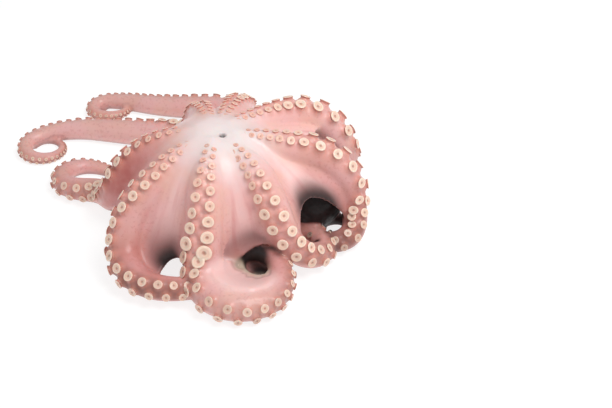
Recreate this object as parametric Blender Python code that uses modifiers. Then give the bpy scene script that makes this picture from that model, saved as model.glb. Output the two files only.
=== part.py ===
"""A whole octopus that lies mouth up, in metres, +Z up, with the mouth over the origin.

Eight arms leave the mouth like the ribs of an umbrella, joined by the web of the crown. They fall
over the head and mantle, reach the floor, and run out there to curled tips. All of it is one piece
of flesh, so it is one solid, with the larger suckers fused on.
"""

import math

import bmesh
import bpy
import numpy as np
from mathutils import Matrix, Vector

MM = 0.001

# Driving sizes
STEP = 2 * MM                # spacing of the points along an arm
CROWN_HEIGHT = 82 * MM       # arm centre lines at the mouth, over the floor
MOUTH_RADIUS = 14 * MM       # where the arms begin, from the mouth's axis
ROOT_LENGTH = 60 * MM        # over this length an arm swells from its narrow root
ROOT_WIDTH = 0.4             # width of the root, over the full width
TIP_RADIUS = 1.4 * MM
THIN_TIP = 2.4 * MM          # the thinnest tip that the solid keeps
LIP_PITCH = math.radians(6)  # fall of the arms across the crown's top
FLOOR_SIZE = 1.0             # side of the block that cuts the underside flat
FLOOR_PRESS = 0.8 * MM       # depth of the flat that the floor presses into the flesh

# Web of the crown, between neighbouring arms
WEB_THICKNESS = 5 * MM
WEB_EXTRA = 26 * MM          # how much further down it runs at an arm than between two arms
WEB_VALLEY = 9 * MM          # how deep it sags between two arms
WEB_SAGGED = 90 * MM         # how far down the sag is full
WEB_ROOT = (0.85, 0.10)      # where it leaves an arm, over its radius, at the mouth and edge

# Web in the front arm's curl, which leaves a hole
CURL_RUN = (118 * MM, 282 * MM)  # along the arm
CURL_CENTRE = (37 * MM, -77 * MM, 13 * MM)
CURL_HOLE = (10 * MM, 14 * MM)  # half the hole's width and depth
CURL_LIP = math.radians(165)  # bearing where the lip starts
CURL_LIP_EXTRA = 13 * MM     # how much further out it starts
CURL_LIP_LIFT = 5 * MM       # how much higher it starts
CURL_LIP_FADE = math.radians(65)
CURL_SINK = 6 * MM           # how much lower it ends
CURL_SINK_FROM = math.radians(400)
CURL_SINK_FADE = math.radians(130)
CURL_SWELL = 2 * MM          # how much the web stands over a straight line
CURL_ROOT = (0.4, 0.8, 1.3)  # where it leaves the arm, over the radius: in, up, later down

# Head and mantle, a bag under the crown that rests on the floor
MANTLE_SIZE = (60 * MM, 62 * MM, 44 * MM)
MANTLE_CENTRE = (4 * MM, 10 * MM, 42 * MM)
BEAK_SIZE = (22 * MM, 22 * MM, 15 * MM)
BEAK_HEIGHT = 76 * MM

# Flesh that closes the hollow at the right and the hole in the front arm's curl from below
HOLLOW_BAG = ((31 * MM, 34 * MM, 30 * MM), (78 * MM, 9 * MM, 26 * MM))  # half size, centre
CURL_BAG = ((20 * MM, 16 * MM, 7 * MM), (38 * MM, -72 * MM, 4 * MM))

# Suckers, in two rows along the oral side of each arm
SUCKER_START = 24 * MM       # the first one, from the mouth
TIP_BARE = 4 * MM            # length of a tip without suckers
SUCKER_SPREAD = 0.75         # a row's distance from the arm's middle, over the width
SUCKER_RISE = 0.42           # height over the skin, over the width
SUCKER_DEPTH = 0.35          # how deep it goes into the skin, over the width
SUCKER_ROOT = 0.84           # width of its foot, over the width
SUCKER_SIDES = 7
SMALLEST_SUCKER = 7.2 * MM   # smaller ones are left to the looks
CUP = [(24, 0.30), (38, 0.40), (55, 0.48), (68, 0.57), (82, 0.70), (120, 0.78), (150, 0.72),
       (400, 0.60)]
SPACING = [(24, 0.45), (45, 0.56), (60, 0.68), (78, 0.84), (95, 0.98), (120, 1.06), (200, 0.95),
           (400, 0.75)]

# Mesh
VOXEL = 2.0 * MM
BODY_TRIANGLES = 4700

# One entry per arm, counter-clockwise from the left as seen from above. Lengths are in millimetres
# along the arm from the mouth, angles in degrees. The arm is "base" thick in radius. It runs nearly
# level for "top", bends over "shoulder" to the fall "pitch", and levels out on the floor over
# "foot". "hem" is how far down the web runs between this arm and the next: one length, or lengths
# by how far across it is. The lists that follow give a value by the distance along the arm: "cup" a
# sucker's width over the arm's radius, "spacing" the spacing in a row of suckers over the same,
# "headings" the way the arm runs, 0 along +X and 90 along +Y, "rise" how much it is lifted, and
# "roll" how far its suckers turn, from facing up, 0, to facing the right of its run, 90.
ARMS = {
    "left": dict(
        base=14.5, top=25, shoulder=75, pitch=68, foot=45, hem=118, cup=CUP,
        headings=[(0, 172), (70, 182), (98, 180), (118, 112), (138, 118), (158, 175), (176, 160),
                  (232, -5), (262, -45), (280, -170), (300, -360)],
        roll=[(0, 0), (110, 0), (165, -75), (400, -85)]),
    "front_left": dict(
        base=14.5, top=20, shoulder=65, pitch=50, foot=50, cup=CUP,
        hem=[(0, 168), (0.1, 156), (0.2, 150), (0.3, 146), (0.4, 138), (0.5, 122), (0.6, 115),
             (0.75, 113), (0.9, 119), (1, 134)],
        rise=[(125, 0), (145, 3), (190, 3), (210, 0)],
        headings=[(0, 218), (84, 216), (196, 380), (216, 394), (262, 530), (294, 700), (320, 880)],
        roll=[(0, -5), (60, -14), (80, 5), (95, 35), (110, 68), (130, 86), (150, 74), (175, 62),
              (400, 80)]),
    "front": dict(
        base=16, top=28, shoulder=45, pitch=62, foot=40,
        cup=[(24, 0.28), (37, 0.34), (55, 0.50), (70, 0.58), (85, 0.68), (97, 0.88), (106, 0.84),
             (118, 0.70), (135, 0.64), (225, 0.60), (255, 0.45), (340, 0.3)],
        spacing=[(24, 0.40), (45, 0.50), (60, 0.58), (75, 0.72), (88, 0.90), (118, 0.97),
                 (135, 0.92), (225, 0.75), (270, 0.45), (340, 0.40)],
        hem=[(0, 150), (0.2, 126), (0.3, 121), (0.4, 117), (0.5, 112), (0.6, 109), (0.7, 107),
             (0.8, 109), (0.9, 115), (1, 131)],
        headings=[(0, 264), (120, 267), (221, 450), (262, 540), (290, 700), (340, 1050)],
        rise=[(205, 0), (230, 8), (255, 15), (275, 13), (305, 0)],
        roll=[(0, -5), (60, -2), (90, 10), (115, 30), (150, 74), (175, 92), (225, 76), (245, 30),
              (400, 30)]),
    "front_right": dict(
        base=14.5, top=34, shoulder=60, pitch=62, foot=50, cup=CUP,
        hem=[(0, 140), (0.1, 125), (0.2, 115), (0.3, 107), (0.4, 102), (0.5, 101), (0.6, 104),
             (0.7, 116), (0.8, 142), (0.9, 158), (1, 165)],
        headings=[(0, 318), (40, 313), (60, 301), (80, 306), (102, 326), (142, 402), (192, 527),
                  (228, 700), (262, 960)],
        roll=[(0, 10), (50, 32), (90, 40), (120, 55), (160, 75), (400, 85)]),
    "right": dict(
        base=14.5, top=74, shoulder=55, pitch=78, foot=40, hem=96, cup=CUP,
        headings=[(0, 359), (54, 354), (120, 356), (158, 264), (182, 205), (210, 100), (244, 10),
                  (269, -120), (294, -300)],
        roll=[(0, 8), (60, 8), (90, 4), (150, 0), (190, -75), (400, -95)]),
    "back_right": dict(
        base=14.5, top=85, shoulder=55, pitch=78, foot=45, hem=90, cup=CUP,
        headings=[(0, 48), (60, 36), (95, 12), (122, -8), (140, 20), (158, 85), (190, 122),
                  (230, 145), (280, 170), (320, 280), (365, 460), (400, 640), (415, 740)],
        roll=[(0, 0), (130, 0), (200, 70), (420, 85)]),
    "back": dict(
        base=14.5, top=30, shoulder=75, pitch=42, foot=50, hem=84, cup=CUP,
        headings=[(0, 77), (100, 82), (176, 112), (204, 170), (230, 176), (285, 160), (316, 178),
                  (348, 345), (370, 400), (398, 530), (423, 660)],
        roll=[(0, 0), (130, 0), (200, 70), (500, 90)]),
    "back_left": dict(
        base=14.5, top=25, shoulder=65, pitch=50, foot=38, hem=90, cup=CUP,
        headings=[(0, 104), (125, 106), (158, 170), (235, 168), (292, 212), (382, 520), (406, 640)],
        roll=[(0, 0), (120, 0), (200, 70), (500, 110)]),
}


def smooth(values, width=15):
    """A running mean with a Hann window."""
    kernel = np.hanning(width)
    kernel /= kernel.sum()
    pad = width // 2
    return np.convolve(np.pad(values, pad, mode="edge"), kernel, "valid")


def ease(x):
    x = np.clip(x, 0, 1)
    return x * x * (3 - 2 * x)


def full_radius(s, length, base):
    """The arm's radius without its narrow root: thick over most of its length, then tapering."""
    return TIP_RADIUS + (base - TIP_RADIUS) * (1 - np.clip(s / length, 0, 1) ** 2)


def route(arm):
    """Centre line, frame and radius along one arm."""
    top, shoulder, foot, base = (arm[key] * MM for key in ("top", "shoulder", "foot", "base"))
    steep = math.radians(arm["pitch"])
    knots = np.array(arm["headings"], float)
    length = knots[-1, 0] * MM
    s = np.arange(MOUTH_RADIUS, length, STEP)

    def fall(wall):
        ends = np.cumsum([0, top, shoulder, wall, foot])
        return np.interp(s, ends, [0, LIP_PITCH, steep, steep, 0]), ends[-1]

    wall = 0.0
    for _ in range(6):
        pitch, landing = fall(wall)
        drop = (np.sin(pitch) * STEP).sum()
        short = CROWN_HEIGHT - full_radius(landing, length, base) - drop
        wall = max(0.0, wall + short / math.sin(steep))
    pitch, landing = fall(wall)
    pitch = smooth(pitch)
    heading = smooth(np.radians(np.interp(s, knots[:, 0] * MM, knots[:, 1])))
    ahead = np.stack([np.cos(heading), np.sin(heading), np.zeros(len(s))], 1)
    above = np.array([0.0, 0.0, 1.0])
    tangent = ahead * np.cos(pitch)[:, None] - above * np.sin(pitch)[:, None]
    up = ahead * np.sin(pitch)[:, None] + above * np.cos(pitch)[:, None]
    start = ahead[0] * MOUTH_RADIUS + above * CROWN_HEIGHT
    centre = start + np.concatenate([[np.zeros(3)], np.cumsum(tangent[:-1] * STEP, 0)])
    radius = full_radius(s, length, base)
    on_floor = np.clip((s - landing + 15 * MM) / (30 * MM), 0, 1)
    clear = np.maximum(centre[:, 2], radius)
    centre[:, 2] = (1 - on_floor) * clear + on_floor * radius
    knots = np.array(arm.get("rise", [(0, 0)]), float)
    centre[:, 2] += smooth(np.interp(s / MM, knots[:, 0], knots[:, 1])) * MM
    knots = np.array(arm["roll"], float)
    roll = np.radians(smooth(np.interp(s / MM, knots[:, 0], knots[:, 1])))[:, None]
    oral = up * np.cos(roll) + np.cross(tangent, up) * np.sin(roll)
    narrow = radius * (ROOT_WIDTH + (1 - ROOT_WIDTH) * ease(s / ROOT_LENGTH))
    centre = centre + oral * (radius - narrow)[:, None]
    knots = np.array(arm["cup"], float)
    cup = np.interp(s / MM, knots[:, 0], knots[:, 1])
    knots = np.array(arm.get("spacing", SPACING), float)
    spacing = np.interp(s / MM, knots[:, 0], knots[:, 1])
    return dict(s=s, centre=centre, tangent=tangent, oral=oral, across=np.cross(tangent, oral),
                radius=narrow, full=radius, length=length, cup=cup, spacing=spacing)


ROUTES = {name: route(arm) for name, arm in ARMS.items()}


def at(line, key, s):
    """A column of a route at distance s along the arm."""
    values = line[key]
    if values.ndim == 1:
        return np.interp(s, line["s"], values)
    return np.array([np.interp(s, line["s"], values[:, k]) for k in range(values.shape[1])])


def clear_scene():
    for item in list(bpy.data.objects):
        bpy.data.objects.remove(item, do_unlink=True)


def new_collection(name, cutter=False):
    group = bpy.data.collections.new(name)
    bpy.context.scene.collection.children.link(group)
    group.hide_render = cutter
    return group


def triangles(item):
    return sum(len(face.vertices) - 2 for face in item.data.polygons)


def select_only(item):
    bpy.ops.object.select_all(action="DESELECT")
    item.select_set(True)
    bpy.context.view_layer.objects.active = item


def add(item, group):
    for old in list(item.users_collection):
        old.objects.unlink(item)
    group.objects.link(item)
    if group.hide_render:
        item.display_type = "WIRE"
    return item


def arm_tube(name, line, group):
    """One arm as a tube along its centre line, with round capped ends."""
    curve = bpy.data.curves.new(name, "CURVE")
    curve.dimensions = "3D"
    curve.bevel_depth = 1.0
    curve.bevel_resolution = 3
    curve.use_fill_caps = True
    spline = curve.splines.new("POLY")
    spline.points.add(len(line["s"]) - 1)
    radius = np.maximum(line["radius"], THIN_TIP)
    sunk = line["centre"] + np.array([0, 0, -FLOOR_PRESS])
    for point, place, r in zip(spline.points, sunk, radius):
        point.co = (*place, 1.0)
        point.radius = r
    item = bpy.data.objects.new(name, curve)
    group.objects.link(item)
    select_only(item)
    bpy.ops.object.convert(target="MESH")
    return bpy.context.active_object


def hem(arm, u):
    """How far down the web runs, u of the way from this arm to the next."""
    if isinstance(arm["hem"], list):
        places, reaches = zip(*arm["hem"])
        return float(np.interp([u - 0.05, u, u + 0.05], places, reaches).mean()) * MM
    return arm["hem"] * MM + WEB_EXTRA * abs(2 * u - 1) ** 2.5


def web_point(names, u, t):
    """A point of the web between two arms: u runs across it, t from the mouth to its edge."""
    arm = ARMS[names[0]]
    s = MOUTH_RADIUS + t * (hem(arm, u) - MOUTH_RADIUS)
    lift = np.interp(ease(s / hem(arm, 0.5)), [0, 1], WEB_ROOT)
    polar = []
    for line in (ROUTES[name] for name in names):
        place = at(line, "centre", s) + at(line, "oral", s) * at(line, "radius", s) * lift
        polar.append((math.atan2(place[1], place[0]), math.hypot(place[0], place[1]), place[2]))
    turn = (polar[1][0] - polar[0][0]) % math.tau
    angle = polar[0][0] + turn * u
    sag = WEB_VALLEY * math.sin(math.pi * u) * float(ease(s / WEB_SAGGED))
    out = (1 - u) * polar[0][1] + u * polar[1][1] - sag
    height = (1 - u) * polar[0][2] + u * polar[1][2] - sag * 0.5
    return Vector((out * math.cos(angle), out * math.sin(angle), height))


def web_skin(group, across=12, down=16):
    """The web as one open surface round the crown, thickened inwards."""
    names = list(ROUTES)
    mesh = bmesh.new()
    columns = []
    for k, name in enumerate(names):
        pair = (name, names[(k + 1) % len(names)])
        for i in range(across):
            column = [web_point(pair, i / across, j / down) for j in range(down + 1)]
            columns.append([mesh.verts.new(place) for place in column])
    for k, column in enumerate(columns):
        other = columns[(k + 1) % len(columns)]
        for j in range(down):
            mesh.faces.new((column[j], column[j + 1], other[j + 1], other[j]))
    mesh.faces.new([column[0] for column in columns])
    return thick_sheet("web", mesh, group)


def thick_sheet(name, mesh, group):
    """An open surface as a sheet of the web's thickness."""
    bmesh.ops.recalc_face_normals(mesh, faces=mesh.faces)
    data = bpy.data.meshes.new(name)
    mesh.to_mesh(data)
    mesh.free()
    item = bpy.data.objects.new(name, data)
    group.objects.link(item)
    thick = item.modifiers.new("thickness", "SOLIDIFY")
    thick.thickness = WEB_THICKNESS
    thick.offset = 0
    select_only(item)
    bpy.ops.object.modifier_apply(modifier=thick.name)
    return item


def curl_hem(turn):
    """The free edge of the web in the front arm's curl, at a bearing from the hole's middle."""
    open_ = 1 - ease((turn - CURL_LIP) / CURL_LIP_FADE)
    sink = ease((turn - CURL_SINK_FROM) / CURL_SINK_FADE)
    wide, deep = CURL_HOLE[0] + CURL_LIP_EXTRA * open_, CURL_HOLE[1]
    x, y, z = CURL_CENTRE
    return np.array([x + wide * math.cos(turn), y + deep * math.sin(turn),
                     z + CURL_LIP_LIFT * open_ - CURL_SINK * sink])


def curl_rows(count, wide):
    """Rows of points across the web in the front arm's curl, from the arm to its free edge."""
    line = ROUTES["front"]
    middle = np.array(CURL_CENTRE)
    inset, high, fall = CURL_ROOT
    rows = []
    last = None
    for s in np.linspace(*CURL_RUN, count):
        centre, radius = at(line, "centre", s), at(line, "radius", s)
        inward = (middle - centre) * [1, 1, 0]
        inward /= np.linalg.norm(inward)
        turn = math.atan2(-inward[1], -inward[0])
        while last is not None and turn < last - math.pi:
            turn += math.tau
        last = turn if last is not None else turn % math.tau
        height = high - fall * float(ease((s - 200 * MM) / (50 * MM)))
        start = centre + inward * radius * inset + np.array([0, 0, height * radius])
        stop = curl_hem(last)
        bulge = (start + stop) / 2 + np.array([0, 0, CURL_SWELL])
        rows.append([(1 - t) ** 2 * start + 2 * t * (1 - t) * bulge + t * t * stop
                     for t in np.linspace(0, 1, wide)])
    return rows


def curl_skin(group):
    """The web in the front arm's curl."""
    mesh = bmesh.new()
    rows = [[mesh.verts.new(place) for place in row] for row in curl_rows(36, 6)]
    for one, two in zip(rows, rows[1:]):
        for k in range(len(one) - 1):
            mesh.faces.new((one[k], one[k + 1], two[k + 1], two[k]))
    return thick_sheet("curl_web", mesh, group)


def bag(name, size, centre, group):
    """A rounded bag of flesh."""
    bpy.ops.mesh.primitive_uv_sphere_add(segments=32, ring_count=20, radius=1, location=centre)
    item = bpy.context.active_object
    item.name = name
    item.scale = size
    bpy.ops.object.transform_apply(location=True, rotation=False, scale=True)
    return add(item, group)


def sucker_places(line):
    """Every sucker of one arm as its place on the skin, its outward direction and its width."""
    s = SUCKER_START
    side = 1
    while s < line["length"] - TIP_BARE:
        width = at(line, "full", s) * at(line, "cup", s)
        centre, oral, across, radius = (at(line, key, s) for key in
                                        ("centre", "oral", "across", "radius"))
        splay = math.asin(min(0.7, SUCKER_SPREAD * width / (radius + width * SUCKER_RISE)))
        least = splay / 4
        while True:
            out = oral * math.cos(splay) + across * math.sin(splay) * side
            out /= np.linalg.norm(out)
            place = centre + out * radius
            if splay < least or clears_floor(place, out, width):
                break
            splay -= math.radians(3)
        yield place, out, width
        s += at(line, "full", s) * at(line, "spacing", s) / 2
        side = -side


def clears_floor(place, out, width):
    """True if the whole rim of the sucker is over the floor."""
    rim = place[2] + out[2] * width * SUCKER_RISE - math.hypot(out[0], out[1]) * width / 2
    return rim > 2 * FLOOR_PRESS


def sucker(place, out, width, group):
    """A short cup that stands on the skin, wider at its rim."""
    rise = width * SUCKER_RISE
    depth = width * SUCKER_DEPTH
    bpy.ops.mesh.primitive_cone_add(
        vertices=SUCKER_SIDES, radius1=width * SUCKER_ROOT / 2, radius2=width / 2,
        depth=rise + depth)
    item = bpy.context.active_object
    turn = Vector(out).to_track_quat("Z", "Y").to_matrix().to_4x4()
    middle = Vector(place) + Vector(out) * (rise - depth) / 2 - Vector((0, 0, FLOOR_PRESS))
    item.data.transform(Matrix.Translation(middle) @ turn)
    return add(item, group)


def remove_all(items):
    for item in list(items):
        bpy.data.objects.remove(item, do_unlink=True)


def keep_largest_shell(item):
    """Drops loose scraps and the walls of sealed hollows."""
    mesh = bmesh.new()
    mesh.from_mesh(item.data)
    left = set(mesh.verts)
    shells = []
    while left:
        seed = left.pop()
        shell, edge = {seed}, [seed]
        while edge:
            for link in edge.pop().link_edges:
                for vert in link.verts:
                    if vert in left:
                        left.discard(vert)
                        shell.add(vert)
                        edge.append(vert)
        shells.append(shell)
    shells.sort(key=len)
    for shell in shells[:-1]:
        bmesh.ops.delete(mesh, geom=list(shell), context="VERTS")
    mesh.to_mesh(item.data)
    mesh.free()


def cut_flat_on_floor(item, cutters):
    """Cuts off what the floor presses flat."""
    bpy.ops.mesh.primitive_cube_add(size=FLOOR_SIZE, location=(0, 0, -FLOOR_SIZE / 2))
    floor = add(bpy.context.active_object, cutters)
    cut = item.modifiers.new("floor", "BOOLEAN")
    cut.operation = "DIFFERENCE"
    cut.object = floor
    cut.solver = "MANIFOLD"
    select_only(item)
    bpy.ops.object.modifier_apply(modifier=cut.name)
    remove_all(cutters.objects)


def body(group, cutters):
    """Arms, web, head and mantle, joined into one skin of few triangles."""
    pieces = [arm_tube(name, line, group) for name, line in ROUTES.items()]
    pieces.append(web_skin(group))
    pieces.append(curl_skin(group))
    pieces.append(bag("hollow", *HOLLOW_BAG, group))
    pieces.append(bag("curl_floor", *CURL_BAG, group))
    pieces.append(bag("mantle", MANTLE_SIZE, MANTLE_CENTRE, group))
    pieces.append(bag("beak", BEAK_SIZE, (0, 0, BEAK_HEIGHT), group))
    bpy.ops.object.select_all(action="DESELECT")
    for piece in pieces:
        piece.select_set(True)
    bpy.context.view_layer.objects.active = pieces[-2]
    bpy.ops.object.join()
    item = bpy.context.active_object
    item.name = "octopus"
    item.data.name = "octopus"
    skin = item.modifiers.new("skin", "REMESH")
    skin.mode = "VOXEL"
    skin.voxel_size = VOXEL
    bpy.ops.object.modifier_apply(modifier=skin.name)
    keep_largest_shell(item)
    cut_flat_on_floor(item, cutters)
    fewer = item.modifiers.new("fewer faces", "DECIMATE")
    fewer.ratio = BODY_TRIANGLES / triangles(item)
    fewer.use_collapse_triangulate = True
    bpy.ops.object.modifier_apply(modifier=fewer.name)
    for vert in item.data.vertices:
        if vert.co.z < FLOOR_PRESS / 4:
            vert.co.z = 0
    return item


def fuse_suckers(item, cutters):
    """Fuses the larger suckers on, largest first."""
    places = [found for line in ROUTES.values() for found in sucker_places(line)]
    places = [found for found in places if found[2] >= SMALLEST_SUCKER and clears_floor(*found)]
    for place, out, width in sorted(places, key=lambda found: -found[2]):
        sucker(place, out, width, cutters)
    union = item.modifiers.new("suckers", "BOOLEAN")
    union.operation = "UNION"
    union.operand_type = "COLLECTION"
    union.collection = cutters
    union.solver = "MANIFOLD"
    select_only(item)
    bpy.ops.object.modifier_apply(modifier=union.name)
    remove_all(cutters.objects)
    return len(places)


def flesh():
    material = bpy.data.materials.new("flesh")
    material.use_nodes = True
    shader = material.node_tree.nodes["Principled BSDF"]
    shader.inputs["Base Color"].default_value = (0.80, 0.48, 0.42, 1)
    shader.inputs["Roughness"].default_value = 0.3
    shader.inputs["Metallic"].default_value = 0.0
    return material


def main():
    clear_scene()
    parts = new_collection("octopus parts")
    cutters = new_collection("suckers", cutter=True)
    item = body(parts, cutters)
    count = fuse_suckers(item, cutters)
    keep_largest_shell(item)
    item.data.materials.clear()
    item.data.materials.append(flesh())
    print(item.name, triangles(item), "triangles", count, "suckers")


main()
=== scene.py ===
"""Looks of the whole octopus: wet flesh with its web, suckers and curled tips, in metres.

The arms run as they do in the solid, from the same named sizes. The skin is one mesh, swept along
the arms, joined by the web and smoothed. The suckers are cups with a rim and a pit, set on it.
"""

import math

import bpy
import numpy as np
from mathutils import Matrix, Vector
from mathutils.kdtree import KDTree


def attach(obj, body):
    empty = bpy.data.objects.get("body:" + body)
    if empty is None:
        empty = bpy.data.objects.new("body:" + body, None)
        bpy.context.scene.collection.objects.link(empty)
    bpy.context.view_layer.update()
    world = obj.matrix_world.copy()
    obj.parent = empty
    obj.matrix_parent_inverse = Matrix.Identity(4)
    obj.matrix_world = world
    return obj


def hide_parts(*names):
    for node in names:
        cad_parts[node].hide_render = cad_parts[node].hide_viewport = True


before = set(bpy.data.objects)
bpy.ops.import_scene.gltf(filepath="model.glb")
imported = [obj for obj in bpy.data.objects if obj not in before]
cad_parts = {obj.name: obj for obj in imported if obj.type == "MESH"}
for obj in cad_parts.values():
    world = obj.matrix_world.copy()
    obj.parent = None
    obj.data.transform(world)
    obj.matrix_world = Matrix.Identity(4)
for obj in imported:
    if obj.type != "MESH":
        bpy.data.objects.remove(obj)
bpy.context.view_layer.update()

MM = 0.001

# The arms' driving sizes, as in the solid
STEP = 2 * MM                # spacing of the points along an arm
CROWN_HEIGHT = 82 * MM       # arm centre lines at the mouth, over the floor
MOUTH_RADIUS = 14 * MM       # where the arms begin, from the mouth's axis
ROOT_LENGTH = 60 * MM        # over this length an arm swells from its narrow root
ROOT_WIDTH = 0.4             # width of the root, over the full width
TIP_RADIUS = 1.4 * MM
LEAST_RADIUS = 2.2 * MM      # the skin is no thinner than this, or the mesh would lose it
LANDING = 30 * MM            # over this length an arm comes to lie on the floor
GROOVE = (0.10, 0.32)        # between the two rows: depth over the radius, half angle in radians
LIP_PITCH = math.radians(6)  # fall of the arms across the crown's top
FLOOR_PRESS = 0.8 * MM       # depth of the flat that the floor presses into the flesh
UNDER_FLOOR = 1 * MM         # how far under the floor the arms may reach before they are cut

# Web of the crown, between neighbouring arms
WEB_EXTRA = 26 * MM          # how much further down it runs at an arm than between two arms
WEB_VALLEY = 9 * MM          # how deep it sags between two arms
WEB_SAGGED = 90 * MM         # how far down the sag is full
WEB_ROOT = (0.85, 0.10)      # where it leaves an arm, over its radius, at the mouth and edge
WEB_THICK = 6 * MM           # at the mouth
WEB_THIN = 3.6 * MM          # at the edge
WEB_SCALLOP = 2.5            # how sharply its edge rises from an arm to between two arms
WEB_ACROSS = 20              # columns of points from one arm to the next
WEB_DOWN = 44                # points from the mouth to the edge
HEM_SOFT = 0.05              # a hem given by points is averaged over this part of its width

# Web in the front arm's curl, which leaves a hole
CURL_RUN = (118 * MM, 282 * MM)  # along the arm
CURL_CENTRE = (37 * MM, -77 * MM, 13 * MM)
CURL_HOLE = (10 * MM, 14 * MM)  # half the hole's width and depth
CURL_LIP = math.radians(165)  # bearing where the lip starts
CURL_LIP_EXTRA = 13 * MM     # how much further out it starts
CURL_LIP_LIFT = 5 * MM       # how much higher it starts
CURL_LIP_FADE = math.radians(65)
CURL_SINK = 6 * MM           # how much lower it ends
CURL_SINK_FROM = math.radians(400)
CURL_SINK_FADE = math.radians(130)
CURL_SWELL = 2 * MM          # how much the web stands over a straight line
CURL_ROOT = (0.4, 0.8, 1.3)  # where it leaves the arm, over the radius: in, up, later down
CURL_DROP = (200 * MM, 50 * MM)  # along the arm: where it starts to leave lower, and over how much
CURL_POINTS = (120, 16)      # points along the arm and across the web
CURL_WAVE = (1.4 * MM, 1.5 * MM, 0.55)  # waves of its edge: height, lift, radians from point to point

# Head and mantle
MANTLE_SIZE = (60 * MM, 62 * MM, 44 * MM)
MANTLE_CENTRE = (4 * MM, 10 * MM, 42 * MM)
BEAK_SIZE = (22 * MM, 22 * MM, 15 * MM)
BEAK_HEIGHT = 76 * MM

# Flesh that closes the hollow at the right and the hole in the front arm's curl from below; where it
# shows in them it is painted near black, as shade
HOLLOW_BAG = ((31 * MM, 34 * MM, 30 * MM), (78 * MM, 9 * MM, 26 * MM))  # half size, centre
CURL_BAG = ((20 * MM, 16 * MM, 7 * MM), (38 * MM, -72 * MM, 4 * MM))

# The opening of the mouth
MOUTH = (7 * MM, -9 * MM)    # from the crown's axis
CROWN_TOP = 90 * MM          # its height
HIGH_UP = 70 * MM            # the skin over this height is the top of the crown
DIMPLE = (2.5 * MM, 8 * MM)  # depth, radius
MOUTH_LIP = (0.7 * MM, 4.2 * MM, 1.6 * MM)  # height, radius, width
MOUTH_PIT = (3.0 * MM, 1.8 * MM)  # depth, radius
MOUTH_DARK = 2.8 * MM        # radius

# Suckers, in two rows along the oral side of each arm
SUCKER_START = 24 * MM       # the first one, from the mouth
TIP_BARE = 4 * MM            # length of a tip without suckers
SUCKER_SPREAD = 0.75         # a row's distance from the arm's middle, over the width
SUCKER_RISE = 0.42           # height over the skin, over the width
MOST_SPLAY = 0.7             # sine of the largest angle between a row and the arm's middle
SPLAY_STEP = math.radians(3)  # a sucker that the floor is in the way of turns up by such steps
CUP = [(24, 0.30), (38, 0.40), (55, 0.48), (68, 0.57), (82, 0.70), (120, 0.78), (150, 0.72),
       (400, 0.60)]
SPACING = [(24, 0.45), (45, 0.56), (60, 0.68), (78, 0.84), (95, 0.98), (120, 1.06), (200, 0.95),
           (400, 0.75)]
LARGE_SUCKER = 5 * MM        # from this width on they get the finer mesh
LEAST_MOUND = 3 * MM         # from this width on they stand on a mound of skin
FLATTER = ([3, 9], [0.56, 0.95])  # widths in millimetres, and how much of their height they keep
YOUNG = (20 * MM, 70 * MM)   # pinker near the mouth: up to where, and over how much it fades
TILT = 0.07                  # spread of their tilts, in radians
LENGTHS = (0.93, 1.02)       # along the arm, over the width
WIDTHS = (0.96, 1.06)        # across it
CUP_SHADE = 0.6               # how much of their arm's painted shade they take in a hollow
DENTS = (0.025, 0.015)       # how far they are from round, in two waves and in three

# Skin mesh
VOXEL = 1.5 * MM
SMOOTHING = 7
RING = 20                    # points round an arm

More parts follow.
